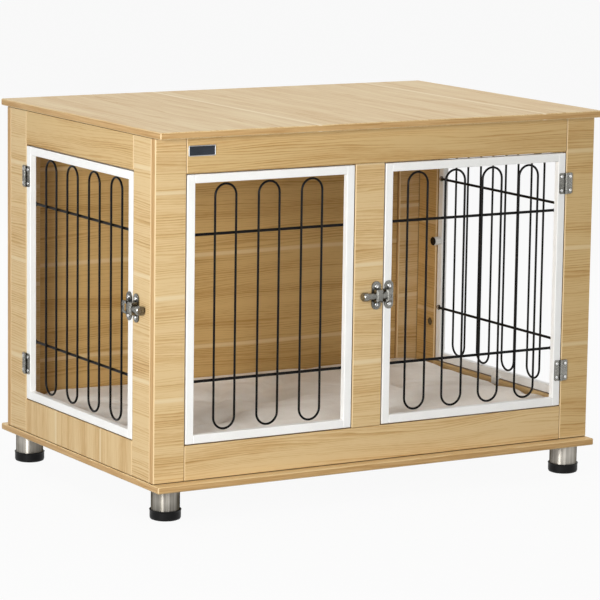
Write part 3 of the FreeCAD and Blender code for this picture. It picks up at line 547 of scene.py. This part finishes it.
def add_rings(shape, centre, outward, rings, angles):
    """Adds a closed round form to a mesh: rings of (radius, height) in millimetres.

    A radius may be a function of the angle.
    """
    turn = side_frame(outward)
    rows = []
    for radius, height in rings:
        row = []
        for angle in angles:
            r = radius(angle) if callable(radius) else radius
            spot = Vector((r * math.cos(angle), r * math.sin(angle), height))
            row.append(shape.verts.new(Vector(centre) * MM + turn @ spot * MM))
        rows.append(row)
    count = len(angles)
    for inner, outer in zip(rows, rows[1:]):
        for i in range(count):
            shape.faces.new((inner[i], inner[(i + 1) % count], outer[(i + 1) % count], outer[i]))
    for row, height, flip in ((rows[0], rings[0][1], True), (rows[-1], rings[-1][1], False)):
        middle = shape.verts.new(Vector(centre) * MM + turn @ Vector((0, 0, height)) * MM)
        for i in range(count):
            corner = (row[i], row[(i + 1) % count], middle)
            shape.faces.new(corner[::-1] if flip else corner)


def close_mesh(name, shape):
    """Turns a worked shape into a mesh with its faces outward."""
    bmesh.ops.recalc_face_normals(shape, faces=shape.faces)
    mesh = bpy.data.meshes.new(name)
    shape.to_mesh(mesh)
    shape.free()
    return mesh


CROSS_REACH = 0.56
CROSS_WIDTH = 0.2
CORNER = math.atan2(CROSS_WIDTH, CROSS_REACH)
QUARTER = (0.0, CORNER, (CORNER + math.pi / 4) / 2, math.pi / 4,
           (math.pi / 2 - CORNER + math.pi / 4) / 2, math.pi / 2 - CORNER)
SCREW_ANGLES = [quarter * math.pi / 2 + angle for quarter in range(4) for angle in QUARTER]


def cross_radius(angle):
    """How far the driver recess reaches at an angle, as a share of the head's radius."""
    inside = angle % (math.pi / 2)
    inside = min(inside, math.pi / 2 - inside)
    if inside <= CORNER + 1e-9:
        return CROSS_REACH / math.cos(inside)
    return CROSS_WIDTH / math.sin(inside)


def add_screw(shape, centre, outward, diameter, height):
    """A pan-head screw with a cross recess, sitting on a face at its centre point."""
    r = diameter / 2

    def recess(share):
        return lambda angle: share * r * cross_radius(angle)

    rings = [
        (0.94 * r, -0.05),
        (r, 0.12 * height),
        (0.99 * r, 0.35 * height),
        (0.9 * r, 0.7 * height),
        (0.74 * r, 0.92 * height),
        (0.62 * r, height),
        (recess(1.0), height),
        (recess(0.82), 0.35 * height),
    ]
    add_rings(shape, centre, outward, rings, SCREW_ANGLES)


def screw_set(name, centres, outward, head, body):
    """One piece that holds a row of equal screws, with heads of a diameter and a height."""
    shape = bmesh.new()
    for centre in centres:
        add_screw(shape, centre, outward, *head)
    piece = new_piece(name, close_mesh(name, shape), bright_zinc, body)
    piece.data.shade_smooth()


# Screws of the hinges, latches and wire eyes: places in millimetres, and each head's diameter and height

FRONT_FACE = -286.0
LEFT_FACE = -442.5
RIGHT_FACE = 457.5
FRONT_AXIS_X = 396.5
LEFT_AXIS_Y = 206.5
HINGE_HEIGHTS = (195.0, 538.0)
HINGE_SCREW_RISE = 12.5
HINGE_SCREW_OUT = 9.2
HINGE_SCREW = (6.2, 1.4)
HINGE_LEAF = 1.5
LATCH_HEIGHT = 361.5
LATCH_SCREW_RISE = 16.0
LATCH_SCREW = (8.0, 2.4)
LATCH_PLATE = 2.0
FRONT_LATCH_BASE_X = -3.5
FRONT_LATCH_KEEPER_X = 22.5
LEFT_LATCH_BASE_Y = -222.5
LEFT_LATCH_KEEPER_Y = -196.5
EYE_HEIGHTS = (235.0, 488.0)
EYE_DEPTH = 14.4
EYE_SCREW = (8.0, 2.0)
WINDOW_EYES_X = (-370.3, -60.7)
DOOR_EYES_X = (23.7, 385.3)
SIDE_EYES_Y = (-195.3, 195.3)

hinge_levels = [z + step for z in HINGE_HEIGHTS for step in (-HINGE_SCREW_RISE, HINGE_SCREW_RISE)]
latch_levels = [LATCH_HEIGHT - LATCH_SCREW_RISE, LATCH_HEIGHT + LATCH_SCREW_RISE]
front_out = (0, -1, 0)
left_out = (-1, 0, 0)
for word, side, body in (("frame", 1, "carcass"), ("door", -1, "front_door")):
    x = FRONT_AXIS_X + side * HINGE_SCREW_OUT
    screw_set(f"front_hinge_{word}_screws", [(x, FRONT_FACE - HINGE_LEAF, z) for z in hinge_levels],
              front_out, HINGE_SCREW, body)
for word, side, body in (("frame", 1, "carcass"), ("door", -1, "left_door")):
    y = LEFT_AXIS_Y + side * HINGE_SCREW_OUT
    screw_set(f"left_hinge_{word}_screws", [(LEFT_FACE - HINGE_LEAF, y, z) for z in hinge_levels],
              left_out, HINGE_SCREW, body)
for word, x, body in (
    ("base", FRONT_LATCH_BASE_X, "carcass"),
    ("keeper", FRONT_LATCH_KEEPER_X, "front_door"),
):
    screw_set(f"front_latch_{word}_screws", [(x, FRONT_FACE - LATCH_PLATE, z) for z in latch_levels],
              front_out, LATCH_SCREW, body)
for word, y, body in (
    ("base", LEFT_LATCH_BASE_Y, "carcass"),
    ("keeper", LEFT_LATCH_KEEPER_Y, "left_door"),
):
    screw_set(f"left_latch_{word}_screws", [(LEFT_FACE - LATCH_PLATE, y, z) for z in latch_levels],
              left_out, LATCH_SCREW, body)
for name, xs, body in (
    ("front_window", WINDOW_EYES_X, "carcass"),
    ("front_door", DOOR_EYES_X, "front_door"),
):
    screw_set(f"{name}_eye_screws", [(x, FRONT_FACE + EYE_DEPTH, z) for x in xs for z in EYE_HEIGHTS],
              (0, 1, 0), EYE_SCREW, body)
for name, x, way, body in (
    ("left_door", LEFT_FACE + EYE_DEPTH, 1, "left_door"),
    ("right_window", RIGHT_FACE - EYE_DEPTH, -1, "carcass"),
):
    screw_set(f"{name}_eye_screws", [(x, y, z) for y in SIDE_EYES_Y for z in EYE_HEIGHTS],
              (way, 0, 0), EYE_SCREW, body)


# Black pad on the end of the round stop

STOP_END = (430.5, 198.0, 366.0)
STOP_PAD_SIDES = 40
STOP_PAD_RINGS = (
    (7.7, 0.0), (8.2, 0.5), (8.2, 1.4), (7.7, 2.0), (6.8, 2.2), (5.8, 1.8), (3.8, 1.5), (1.4, 1.45),
)


def stop_pad():
    """A rubber button pressed on the stop's end, with a rolled rim and a shallow dish."""
    name = "round_stop_pad"
    shape = bmesh.new()
    angles = [2 * math.pi * i / STOP_PAD_SIDES for i in range(STOP_PAD_SIDES)]
    add_rings(shape, STOP_END, (-1, 0, 0), STOP_PAD_RINGS, angles)
    piece = new_piece(name, close_mesh(name, shape), black_rubber, "carcass")
    piece.data.shade_smooth()


stop_pad()


# Blank plate on the front top rail

PLATE_MIDDLE = (-353.5, 633.25)
PLATE_HALF = (26.0, 9.25)
PLATE_CORNER_STEPS = 5
# Outlines from the rail outward: inset, corner radius and how far each stands off the rail, in millimetres
PLATE_RIM = ((0.0, 1.6, 0.0), (0.0, 1.6, 0.9), (0.4, 1.4, 1.3), (1.2, 1.1, 1.3), (1.6, 0.9, 1.0))
PLATE_FACE = ((1.5, 0.9, 0.9), (1.5, 0.9, 1.05), (1.9, 0.7, 1.2))


def plate_outline(inset, corner):
    """A rounded rectangle's points in the front plane, as (x, z)."""
    half_x = PLATE_HALF[0] - inset
    half_z = PLATE_HALF[1] - inset
    points = []
    for turn, (sx, sz) in enumerate(((1, 1), (-1, 1), (-1, -1), (1, -1))):
        for i in range(PLATE_CORNER_STEPS + 1):
            angle = math.pi / 2 * (turn + i / PLATE_CORNER_STEPS)
            points.append((
                PLATE_MIDDLE[0] + sx * (half_x - corner) + corner * math.cos(angle),
                PLATE_MIDDLE[1] + sz * (half_z - corner) + corner * math.sin(angle),
            ))
    return points


def plate_piece(name, outlines, material):
    """A plate or rim, closed over its outlines."""
    shape = bmesh.new()
    loops = []
    for inset, corner, proud in outlines:
        y = FRONT_FACE - proud
        loops.append([shape.verts.new((x * MM, y * MM, z * MM)) for x, z in plate_outline(inset, corner)])
    count = len(loops[0])
    for first, second in zip(loops, loops[1:]):
        for i in range(count):
            shape.faces.new((first[i], first[(i + 1) % count], second[(i + 1) % count], second[i]))
    shape.faces.new(loops[0][::-1])
    shape.faces.new(loops[-1])
    new_piece(name, close_mesh(name, shape), material, "carcass")


plate_piece("blank_plate_rim", PLATE_RIM, satin_aluminium)
plate_piece("blank_plate_face", PLATE_FACE, black_anodised)


# Cushion: a foam pad in a loose cover, filled by a cloth simulation

CUSHION_SHRINK = 7 * MM
VOXEL = 6 * MM
FILL_FRAMES = 20
FILL_CAP = 14 * MM
FILL_CLOTH = {
    "quality": 4,
    "mass": 0.3,
    "tension_stiffness": 12,
    "compression_stiffness": 12,
    "bending_stiffness": 0.4,
    "use_pressure": True,
    "uniform_pressure_force": 4,
}
CROWN_RISE = 4 * MM
BASE_GAP = 0.2 * MM
# As shares of the pad: the height where creases begin to press, the height over which they grow to their full
# depth, the seam's height, and how far out the side that carries it begins
PRESS_FROM = 0.3
PRESS_OVER = 0.3
SEAM_HEIGHT = 0.55
SIDE_FROM = 0.9
SEAM_DEPTH = 2.5 * MM
SEAM_HALF_WIDTH = 4 * MM
# Soft creases on the top and, last, broad hollows between them: start, end, half width and depth in mm
CREASES = (
    ((-400, -200), (-120, -60), 15, 11.0),
    ((-330, 60), (40, -20), 17, 10.5),
    ((-60, -230), (180, -120), 15, 11.0),
    ((-40, 60), (120, 190), 15, 10.5),
    ((120, 40), (400, -90), 16, 11.0),
    ((-250, 210), (20, 130), 15, 10.0),
    ((150, 220), (380, 120), 15, 10.5),
    ((300, -240), (410, -150), 13, 9.5),
    ((-410, 150), (-300, 90), 13, 9.0),
    ((-260, -235), (-150, -150), 12, 9.0),
    ((-200, -40), (-90, 120), 14, 9.0),
    ((200, -60), (260, 100), 14, 9.0),
    ((-310, -110), (-150, -170), 42, 11.0),
    ((-110, -70), (-10, 70), 48, 11.0),
    ((110, -150), (300, -190), 42, 10.0),
    ((-370, 20), (-230, 150), 45, 10.0),
    ((60, 110), (330, 20), 48, 11.0),
)


def crease_depth(x, y):
    """How deep the creases press at a point of the top, in metres."""
    total = 0.0
    for (ax, ay), (bx, by), width, depth in CREASES:
        line = Vector((bx - ax, by - ay))
        share = (Vector((x - ax, y - ay)) @ line) / line.length_squared
        near = min(max(share, 0.0), 1.0)
        gap = (Vector((x, y)) - Vector((ax, ay)) - line * near).length
        # A crease is shallower towards its ends
        fade = math.sin(math.pi * (0.15 + 0.7 * near))
        total += depth * fade * math.exp(-(gap / width) ** 2)
    return total * MM


def floor_cushion():
    """The pad: a shrunken copy of the solid, filled with air by Cloth, then creased and seamed."""
    low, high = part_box("cushion")
    middle = (low + high) / 2
    height = high.z - low.z
    mesh = nodes["cushion"].data.copy()
    for vertex in mesh.vertices:
        for axis in (0, 1):
            half = (high[axis] - low[axis]) / 2
            vertex.co[axis] = middle[axis] + (vertex.co[axis] - middle[axis]) * (half - CUSHION_SHRINK) / half
        vertex.co.z = low.z + (vertex.co.z - low.z) * (height - CUSHION_SHRINK) / height
    pad = bpy.data.objects.new("floor_cushion", mesh)
    scene.collection.objects.link(pad)
    remesh = pad.modifiers.new("shell", "REMESH")
    remesh.mode = "VOXEL"
    remesh.voxel_size = VOXEL
    shell = bpy.data.meshes.new_from_object(pad.evaluated_get(bpy.context.evaluated_depsgraph_get()))
    pad.modifiers.clear()
    pad.data = shell
    start = [vertex.co.copy() for vertex in shell.vertices]
    filled = start
    cloth = pad.modifiers.new("fill", "CLOTH")
    for setting, value in FILL_CLOTH.items():
        setattr(cloth.settings, setting, value)
    cloth.settings.effector_weights.gravity = 0
    cloth.point_cache.frame_start = 1
    cloth.point_cache.frame_end = FILL_FRAMES
    for moment in range(1, FILL_FRAMES + 1):
        scene.frame_set(moment)
    swollen = pad.evaluated_get(bpy.context.evaluated_depsgraph_get())
    filled = [vertex.co.copy() for vertex in swollen.data.vertices]
    pad.modifiers.clear()
    scene.frame_set(1)
    # The filling draws the sides in, so the cover is let out again to the solid's sides and up to a low crown
    spots = []
    for before, after in zip(start, filled):
        move = after - before
        if move.length > FILL_CAP:
            move *= FILL_CAP / move.length
        spots.append(before + move)
    for axis in (0, 1):
        reach = max(abs(spot[axis] - middle[axis]) for spot in spots)
        let_out = (high[axis] - middle[axis]) / reach
        for spot in spots:
            spot[axis] = middle[axis] + (spot[axis] - middle[axis]) * let_out
    lift = (high.z + CROWN_RISE - low.z) / (max(spot.z for spot in spots) - low.z)
    seam = low.z + SEAM_HEIGHT * height
    for vertex, spot in zip(shell.vertices, spots):
        spot.z = low.z + (spot.z - low.z) * lift
        up = (spot.z - low.z) / height
        pressed = min(max((up - PRESS_FROM) / PRESS_OVER, 0.0), 1.0)
        spot.z -= crease_depth((spot.x - middle.x) / MM, spot.y / MM) * pressed
        drawn_in = SEAM_DEPTH * math.exp(-((spot.z - seam) / SEAM_HALF_WIDTH) ** 2)
        flat = Vector((spot.x - middle.x, spot.y - middle.y, 0.0))
        outward = max(abs(flat.x) / (high.x - middle.x), abs(flat.y) / (high.y - middle.y))
        if outward > SIDE_FROM:
            spot -= flat.normalized() * drawn_in
        spot.z = max(spot.z, low.z + BASE_GAP)
        vertex.co = spot
    shell.shade_smooth()
    soft = pad.modifiers.new("soft", "SUBSURF")
    soft.levels = 1
    soft.render_levels = 1
    dress(pad, cushion_fabric())
    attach(pad, "carcass")
    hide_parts("cushion")


floor_cushion()


# Floor, light and camera

FLOOR_REACH = 60.0
FLOOR_WHITE = 0.94
SKY_LEVEL = 0.12


def background_rays(tree):
    """1 for rays from the camera and from shiny or clear surfaces, which see a white background, else 0."""
    path = add_node(tree, "ShaderNodeLightPath")
    mirrored = add_node(tree, "ShaderNodeMath", {
        0: path.outputs["Is Camera Ray"], 1: path.outputs["Is Glossy Ray"],
    }, operation="MAXIMUM")
    seen = add_node(tree, "ShaderNodeMath", {
        0: mirrored.outputs[0], 1: path.outputs["Is Transmission Ray"],
    }, operation="MAXIMUM")
    return seen.outputs[0]


def pale_floor():
    """A matt pale floor, seen as white by the camera, that keeps a soft shadow."""
    shape = bmesh.new()
    corners = ((-1, -1), (1, -1), (1, 1), (-1, 1))
    shape.faces.new([shape.verts.new((FLOOR_REACH * x, FLOOR_REACH * y, 0.0)) for x, y in corners])
    floor = bpy.data.objects.new("floor", close_mesh("floor", shape))
    scene.collection.objects.link(floor)
    material, tree = start_material("pale_floor_paper")
    share = add_node(tree, "ShaderNodeMath", {0: background_rays(tree), 1: FLOOR_WHITE}, operation="MULTIPLY")
    matt = add_node(tree, "ShaderNodeBsdfDiffuse", {"Color": linear("#B4B4B2")})
    white = add_node(tree, "ShaderNodeEmission", {"Color": linear("#FFFFFF"), "Strength": 1.0})
    both = add_node(tree, "ShaderNodeMixShader", {
        0: share.outputs[0], 1: matt.outputs[0], 2: white.outputs[0],
    })
    add_node(tree, "ShaderNodeOutputMaterial", {"Surface": both.outputs[0]})
    dress(floor, material)


def studio_sky():
    """A white sky that lights things softly, and shows white behind them and in shiny surfaces."""
    studio = bpy.data.worlds.new("studio")
    scene.world = studio
    studio.use_nodes = True
    tree = studio.node_tree
    tree.nodes.clear()
    level = add_node(tree, "ShaderNodeMapRange", {
        "Value": background_rays(tree), "To Min": SKY_LEVEL, "To Max": 1.0,
    })
    sky = add_node(tree, "ShaderNodeBackground", {"Color": linear("#FFFFFF"), "Strength": level.outputs[0]})
    add_node(tree, "ShaderNodeOutputWorld", {"Surface": sky.outputs[0]})


def soft_box(name, spot, aim, side, power, mirrored=True):
    """A square soft box that shines from a spot towards a point, in metres and watts.

    It shows in shiny surfaces if mirrored.
    """
    lamp = bpy.data.lights.new(name, "AREA")
    lamp.size = side
    lamp.energy = power
    holder = bpy.data.objects.new(name, lamp)
    holder.location = spot
    holder.rotation_mode = "QUATERNION"
    holder.rotation_quaternion = (Vector(aim) - Vector(spot)).to_track_quat("-Z", "Y")
    holder.visible_camera = False
    holder.visible_glossy = mirrored
    scene.collection.objects.link(holder)


pale_floor()
studio_sky()
soft_box("left_front_box", (-2.95, -1.98, 1.0), (-0.3, -0.1, 0.36), side=1.1, power=91)
soft_box("front_box", (-0.9, -2.7, 1.05), (-0.1, -0.2, 0.36), side=1.3, power=17)
soft_box("top_box", (-0.2, -0.4, 3.4), (0.0, 0.0, 0.6), side=2.4, power=46, mirrored=False)
soft_box("right_box", (2.9, 0.5, 1.2), (0.4, 0.0, 0.35), side=1.4, power=44, mirrored=False)
soft_box("back_box", (-0.3, 3.2, 1.3), (0.0, 0.3, 0.35), side=1.4, power=44, mirrored=False)

# The camera was fitted to the corners of the boards, doors and windows: place in metres, angles in radians
CAMERA_PLACE = (-2.9536, -4.9861, 1.2656)
YAW = 0.53662
PITCH = 0.16335
ROLL = 0.01418
SENSOR_WIDTH = 36.0
FOCAL_LENGTH = 192.585
CLIP_END = 200.0
turn = Matrix.Rotation(ROLL, 3, "Y") @ Matrix.Rotation(PITCH, 3, "X") @ Matrix.Rotation(YAW, 3, "Z")
lens = bpy.data.cameras.new("camera")
lens.sensor_width = SENSOR_WIDTH
lens.lens = FOCAL_LENGTH
lens.clip_end = CLIP_END
camera = bpy.data.objects.new("camera", lens)
facing = Matrix((turn[0], turn[2], -turn[1])).transposed()
camera.matrix_world = Matrix.Translation(CAMERA_PLACE) @ facing.to_4x4()
scene.collection.objects.link(camera)
scene.camera = camera
